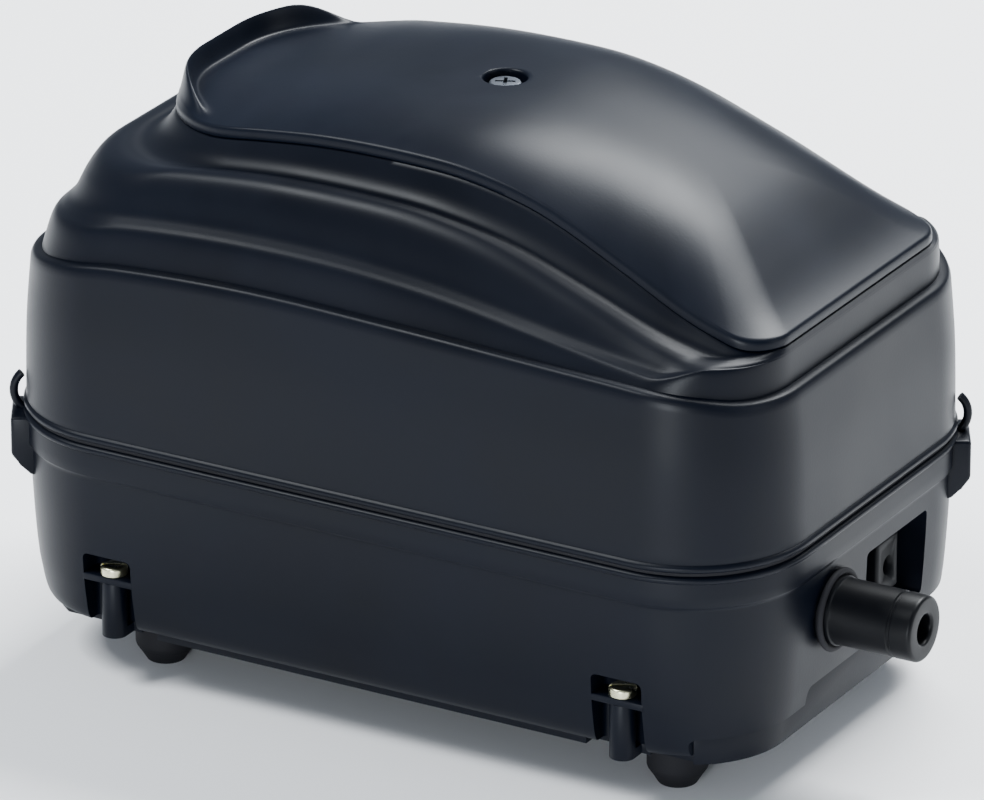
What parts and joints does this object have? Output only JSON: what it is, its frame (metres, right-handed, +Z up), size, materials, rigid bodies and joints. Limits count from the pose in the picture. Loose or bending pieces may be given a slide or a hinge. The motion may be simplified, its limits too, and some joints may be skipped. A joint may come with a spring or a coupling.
{
  "type": "linear-motor diaphragm air pump",
  "caption": "Quiet electric air pump for ponds and aquaria: moulded two-part case on rubber feet, clip-in air filter cover on top, outlet nozzle at one end, diaphragm drive inside.",
  "frame": {"origin": "middle of the bottom of the whole pump's box, on the surface the rubber feet stand on", "axes": "+Z up, +X along the length towards the outlet nozzle, +Y across to the side away from the nozzle"},
  "size_m": [0.262, 0.1454, 0.1684],
  "materials": {
    "case_plastic": "satin moulded",
    "cover_plastic": "satin moulded",
    "nozzle_plastic": "satin moulded",
    "inner_plastic": "matte moulded",
    "pale_plastic": "matte moulded",
    "black_rubber": "matte",
    "brass_screw": "plated",
    "zinc_steel": "zinc plated",
    "cover_screw_steel": "blackened",
    "bent_sheet": "galvanised",
    "core_steel": "laminated and varnished",
    "magnet": "ground ferrite",
    "copper_coil": "enamelled wire",
    "foam": "open-cell foam"
  },
  "bodies": {
    "case": {"lower_housing": "case_plastic", "base_plate": "case_plastic", "outlet_nozzle": "nozzle_plastic", "cable_gland": "nozzle_plastic", "air_tank": "inner_plastic", "tank_lid": "inner_plastic", "pump_head_left": "inner_plastic", "pump_head_right": "inner_plastic", "head_cover_left": "inner_plastic", "head_cover_right": "inner_plastic", "bobbin_front": "pale_plastic", "bobbin_back": "pale_plastic", "terminal_block": "pale_plastic", "rubber_feet": "black_rubber", "waist_seal": "black_rubber", "nozzle_seal": "black_rubber", "vibration_mounts": "black_rubber", "diaphragm_left": "black_rubber", "diaphragm_right": "black_rubber", "head_hoses": "black_rubber", "outlet_hose": "black_rubber", "pocket_screws": "brass_screw", "foot_studs": "zinc_steel", "hood_screws": "zinc_steel", "core_bolts": "zinc_steel", "head_screws": "zinc_steel", "chassis_frame": "bent_sheet", "core_front": "core_steel", "core_back": "core_steel", "coil_front": "copper_coil", "coil_back": "copper_coil"},
    "hood": {"hood": "case_plastic", "filter_tray": "inner_plastic"},
    "filter_cover": {"filter_cover": "cover_plastic"},
    "cover_screw": {"filter_cover_screw": "cover_screw_steel"},
    "filter_element": {"filter_element": "foam"},
    "armature": {"armature_shaft": "zinc_steel", "armature_carrier": "inner_plastic", "magnets": "magnet", "diaphragm_plates": "zinc_steel", "shaft_nuts": "zinc_steel"},
    "inlet_flap_left": {"inlet_flap_left": "black_rubber"},
    "inlet_flap_right": {"inlet_flap_right": "black_rubber"},
    "outlet_flap_left": {"outlet_flap_left": "black_rubber"},
    "outlet_flap_right": {"outlet_flap_right": "black_rubber"}
  },
  "joints": [
    {"name": "hood_lift", "type": "slide", "parent": "case", "child": "hood", "axis": [0, 0, 1], "range_m": [0, 0.11]},
    {"name": "filter_cover_lift", "type": "slide", "parent": "hood", "child": "filter_cover", "axis": [0, 0, 1], "range_m": [0, 0.06]},
    {"name": "cover_screw_lift", "type": "slide", "parent": "filter_cover", "child": "cover_screw", "axis": [0, 0, 1], "range_m": [0, 0.015]},
    {"name": "filter_element_lift", "type": "slide", "parent": "hood", "child": "filter_element", "axis": [0, 0, 1], "range_m": [0, 0.03]},
    {"name": "armature_stroke", "type": "slide", "parent": "case", "child": "armature", "axis": [1, 0, 0], "range_m": [-0.0025, 0.0025], "stiffness_N_per_m": 1500, "deforming": ["diaphragm_left", "diaphragm_right"]},
    {"name": "inlet_valve_right", "type": "hinge", "parent": "case", "child": "inlet_flap_right", "pos_m": [0.06335, 0, 0.0905], "axis": [0, 1, 0], "range_deg": [0, 25]},
    {"name": "outlet_valve_right", "type": "hinge", "parent": "case", "child": "outlet_flap_right", "pos_m": [0.06755, 0, 0.0625], "axis": [0, -1, 0], "range_deg": [0, 25]},
    {"name": "inlet_valve_left", "type": "hinge", "parent": "case", "child": "inlet_flap_left", "pos_m": [-0.08645, 0, 0.0905], "axis": [0, -1, 0], "range_deg": [0, 25]},
    {"name": "outlet_valve_left", "type": "hinge", "parent": "case", "child": "outlet_flap_left", "pos_m": [-0.09065, 0, 0.0625], "axis": [0, 1, 0], "range_deg": [0, 25]}
  ],
  "couplings": [
    {"joint": "filter_element_lift", "follows": "filter_cover_lift", "ratio": 0.5}
  ]
}
